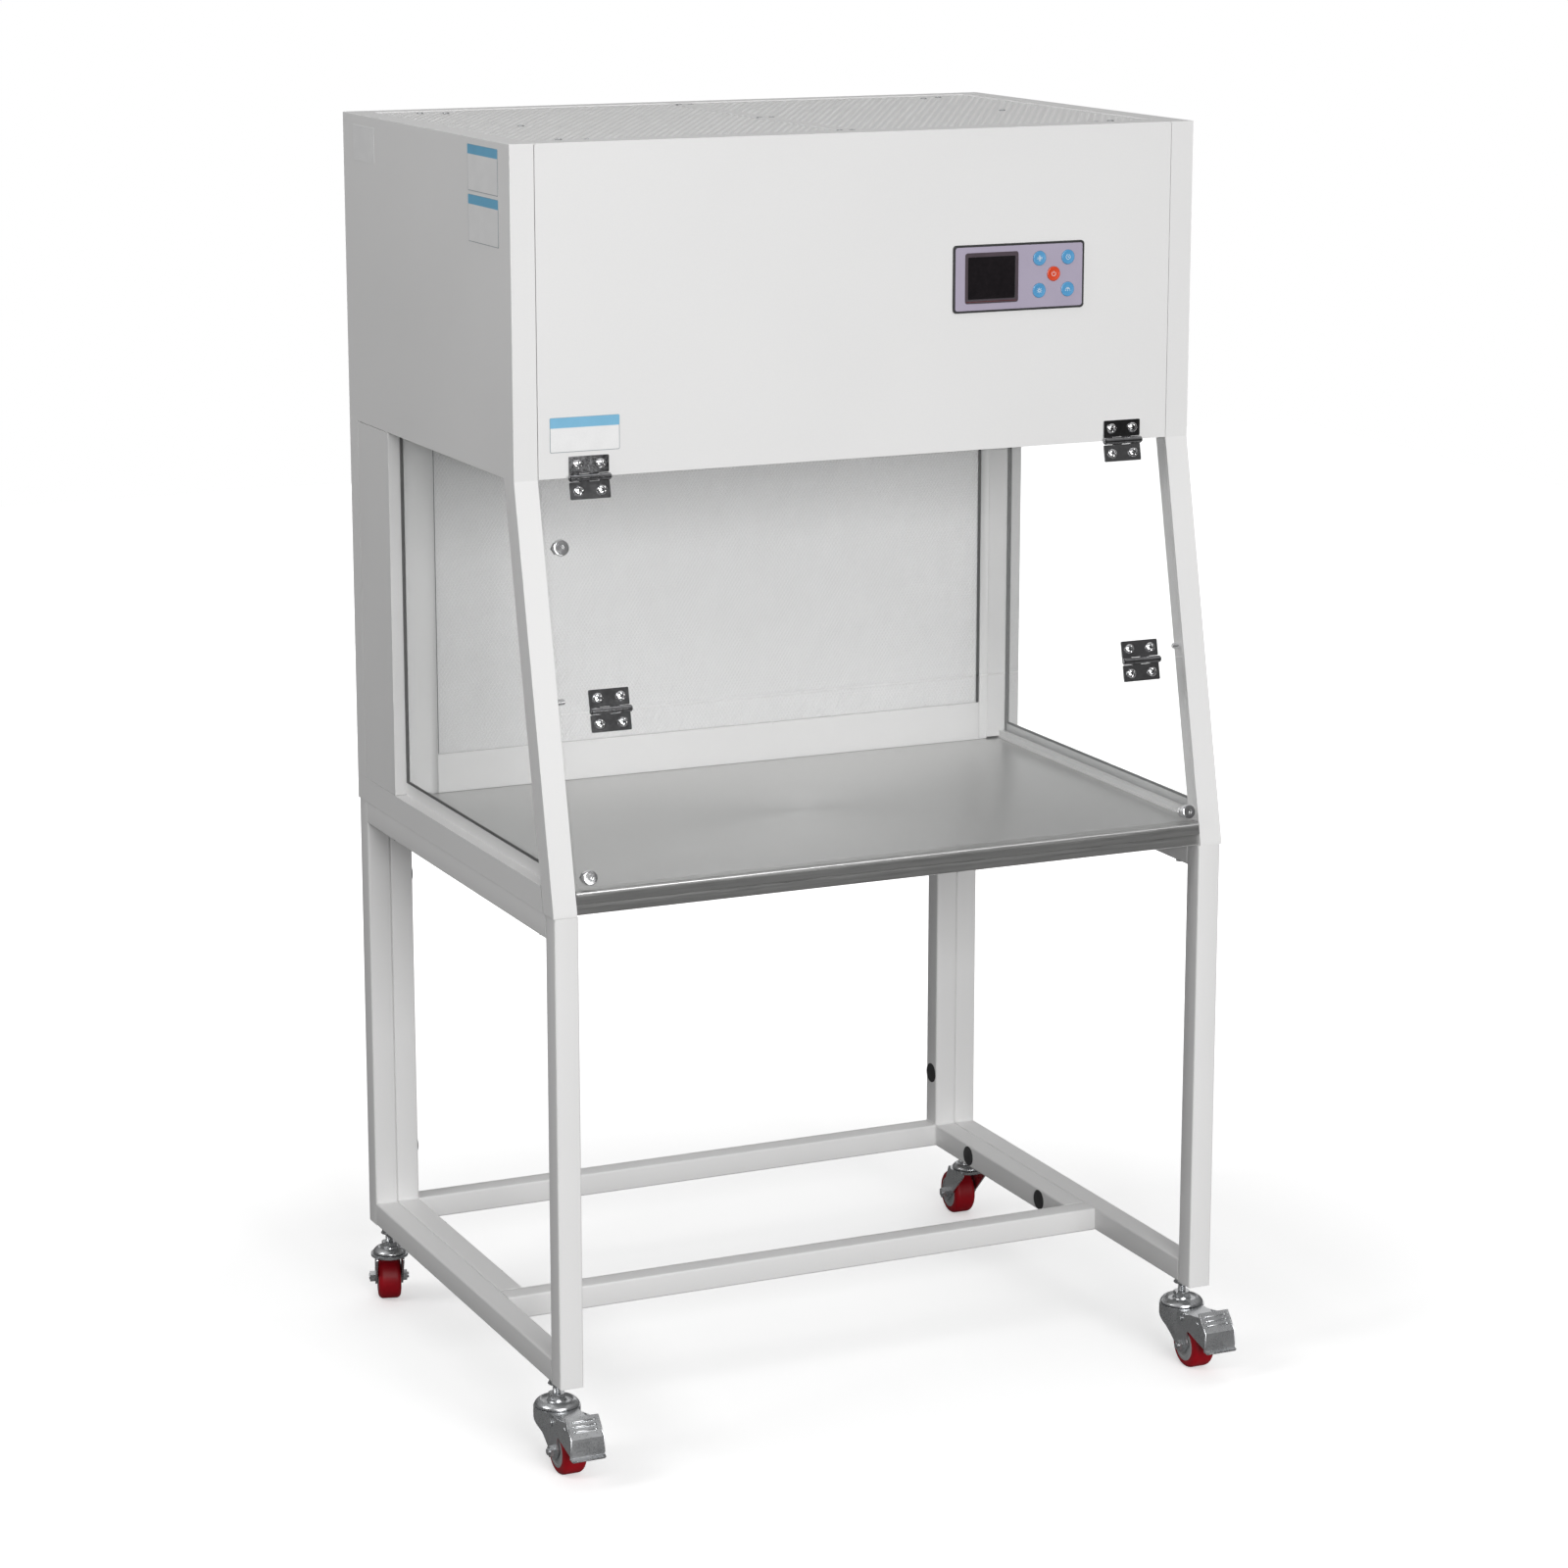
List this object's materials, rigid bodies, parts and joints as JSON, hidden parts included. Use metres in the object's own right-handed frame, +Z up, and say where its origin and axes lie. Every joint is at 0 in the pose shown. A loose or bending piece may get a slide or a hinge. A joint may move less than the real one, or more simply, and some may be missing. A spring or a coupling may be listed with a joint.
{
  "type": "fume hood",
  "caption": "White laminar-flow hood with folding clear sash, side windows, steel worktop and control panel, on an open square-tube stand with braked swivel casters.",
  "frame": {"origin": "on the floor, under the middle of the bounding box", "axes": "+Z up, front (sash and controls) towards -Y, +X to the right as seen from the front"},
  "size_m": [0.917, 0.7698, 1.57],
  "materials": {
    "white_coat": "satin white powder coat",
    "zinc": "bright zinc plate",
    "black_plastic": "moulded black plastic",
    "stainless": "brushed stainless steel",
    "mesh_white": "white woven diffuser mesh",
    "aluminium_frame": "extruded aluminium",
    "filter_paper": "pleated glass-fibre paper",
    "galvanised": "galvanised sheet",
    "prefilter_fabric": "coarse grey filter mat",
    "motor_cast": "painted motor case",
    "impeller_black": "moulded black plastic",
    "lamp_white": "white diffuser tube",
    "lamp_glass": "quartz glass tube",
    "window_glass": "clear glass",
    "pane_clear": "clear acrylic",
    "black_rubber": "black rubber",
    "hinge_chrome": "mirror chrome",
    "bright_steel": "polished steel",
    "bezel_lilac": "grey overlay with dark edge",
    "button_red": "red-orange button",
    "button_blue": "light blue button",
    "screen_black": "dark display glass",
    "board_green": "solder mask",
    "red_polyurethane": "red polyurethane",
    "grey_plastic": "grey nylon"
  },
  "bodies": {
    "hood_and_stand": {"blower_housing": "galvanised", "blower_motor": "motor_cast", "bolt_hole_plugs": "black_plastic", "bolts_and_screws": "zinc", "caster_stems": "zinc", "ceiling_panel": "white_coat", "control_bezel": "bezel_lilac", "control_board": "board_green", "diffuser_mesh": "mesh_white", "display": "screen_black", "front_panel": "white_coat", "hepa_frame": "aluminium_frame", "hepa_media": "filter_paper", "hood_base": "white_coat", "led_lamp": "lamp_white", "pane_rests": "black_rubber", "plenum_casing": "white_coat", "power_inlet": "black_plastic", "prefilter": "prefilter_fabric", "rear_panel": "white_coat", "rear_wall_frame": "white_coat", "roof_crossbar": "galvanised", "roof_grilles": "white_coat", "side_panel_left": "white_coat", "side_panel_right": "white_coat", "side_windows": "window_glass", "stand_inner_frame": "white_coat", "stand_side_frame_left": "white_coat", "stand_side_frame_right": "white_coat", "upper_hinge_fixed_leaves": "hinge_chrome", "uv_lamp": "lamp_glass", "window_seals": "black_rubber", "worktop": "stainless"},
    "upper_sash": {"upper_pane": "pane_clear", "upper_hinge_moving_leaves": "hinge_chrome", "lower_hinge_fixed_leaves": "hinge_chrome", "upper_latch": "bright_steel"},
    "lower_sash": {"lower_pane": "pane_clear", "lower_hinge_moving_leaves": "hinge_chrome", "sash_knobs": "bright_steel"},
    "blower_rotor": {"blower_impeller": "impeller_black"},
    "power_button_key": {"power_button": "button_red"},
    "fan_button_key": {"fan_button": "button_blue"},
    "timer_button_key": {"timer_button": "button_blue"},
    "light_button_key": {"light_button": "button_blue"},
    "uv_button_key": {"uv_button": "button_blue"},
    "front_left_swivel": {"caster_front_left_fork": "zinc"},
    "front_left_wheel": {"caster_front_left_tyre": "red_polyurethane", "caster_front_left_hub": "grey_plastic"},
    "front_right_swivel": {"caster_front_right_fork": "zinc"},
    "front_right_wheel": {"caster_front_right_tyre": "red_polyurethane", "caster_front_right_hub": "grey_plastic"},
    "rear_left_swivel": {"caster_rear_left_fork": "zinc"},
    "rear_left_wheel": {"caster_rear_left_tyre": "red_polyurethane", "caster_rear_left_hub": "grey_plastic"},
    "rear_right_swivel": {"caster_rear_right_fork": "zinc"},
    "rear_right_wheel": {"caster_rear_right_tyre": "red_polyurethane", "caster_rear_right_hub": "grey_plastic"},
    "front_left_pedal": {"caster_front_left_brake_pedal": "zinc"},
    "front_right_pedal": {"caster_front_right_brake_pedal": "zinc"}
  },
  "joints": [
    {"name": "upper_sash_hinge", "type": "hinge", "parent": "hood_and_stand", "child": "upper_sash", "pos_m": [0, -0.2296, 1.18452], "axis": [-1, 0, 0], "range_deg": [0, 130]},
    {"name": "lower_sash_hinge", "type": "hinge", "parent": "upper_sash", "child": "lower_sash", "pos_m": [0, -0.28759, 0.91992], "axis": [-1, 0, 0], "range_deg": [0, 172]},
    {"name": "blower_spin", "type": "hinge", "parent": "hood_and_stand", "child": "blower_rotor", "pos_m": [0, -0.0024, 1.32], "axis": [0, 0, 1], "continuous": true},
    {"name": "power_button_press", "type": "slide", "parent": "hood_and_stand", "child": "power_button_key", "axis": [0, 1, 0], "range_m": [0, 0.0008], "stiffness_N_per_m": 900},
    {"name": "fan_button_press", "type": "slide", "parent": "hood_and_stand", "child": "fan_button_key", "axis": [0, 1, 0], "range_m": [0, 0.0008], "stiffness_N_per_m": 900},
    {"name": "timer_button_press", "type": "slide", "parent": "hood_and_stand", "child": "timer_button_key", "axis": [0, 1, 0], "range_m": [0, 0.0008], "stiffness_N_per_m": 900},
    {"name": "light_button_press", "type": "slide", "parent": "hood_and_stand", "child": "light_button_key", "axis": [0, 1, 0], "range_m": [0, 0.0008], "stiffness_N_per_m": 900},
    {"name": "uv_button_press", "type": "slide", "parent": "hood_and_stand", "child": "uv_button_key", "axis": [0, 1, 0], "range_m": [0, 0.0008], "stiffness_N_per_m": 900},
    {"name": "front_left_swivel_turn", "type": "hinge", "parent": "hood_and_stand", "child": "front_left_swivel", "pos_m": [-0.43, -0.2854, 0.072], "axis": [0, 0, 1], "continuous": true},
    {"name": "front_left_wheel_roll", "type": "hinge", "parent": "front_left_swivel", "child": "front_left_wheel", "pos_m": [-0.43, -0.3184, 0.03], "axis": [-1, 0, 0], "continuous": true},
    {"name": "front_left_pedal_press", "type": "hinge", "parent": "front_left_swivel", "child": "front_left_pedal", "pos_m": [-0.43, -0.3184, 0.0665], "axis": [1, 0, 0], "range_deg": [0, 18]},
    {"name": "front_right_swivel_turn", "type": "hinge", "parent": "hood_and_stand", "child": "front_right_swivel", "pos_m": [0.43, -0.2854, 0.072], "axis": [0, 0, 1], "continuous": true},
    {"name": "front_right_wheel_roll", "type": "hinge", "parent": "front_right_swivel", "child": "front_right_wheel", "pos_m": [0.43, -0.3184, 0.03], "axis": [-1, 0, 0], "continuous": true},
    {"name": "front_right_pedal_press", "type": "hinge", "parent": "front_right_swivel", "child": "front_right_pedal", "pos_m": [0.43, -0.3184, 0.0665], "axis": [1, 0, 0], "range_deg": [0, 18]},
    {"name": "rear_left_swivel_turn", "type": "hinge", "parent": "hood_and_stand", "child": "rear_left_swivel", "pos_m": [-0.43, 0.3181, 0.072], "axis": [0, 0, 1], "continuous": true},
    {"name": "rear_left_wheel_roll", "type": "hinge", "parent": "rear_left_swivel", "child": "rear_left_wheel", "pos_m": [-0.42057, 0.34973, 0.03], "axis": [0.9583, -0.2857, 0], "continuous": true},
    {"name": "rear_right_swivel_turn", "type": "hinge", "parent": "hood_and_stand", "child": "rear_right_swivel", "pos_m": [0.43, 0.3181, 0.072], "axis": [0, 0, 1], "continuous": true},
    {"name": "rear_right_wheel_roll", "type": "hinge", "parent": "rear_right_swivel", "child": "rear_right_wheel", "pos_m": [0.4315, 0.35107, 0.03], "axis": [0.999, -0.0454, 0], "continuous": true}
  ]
}
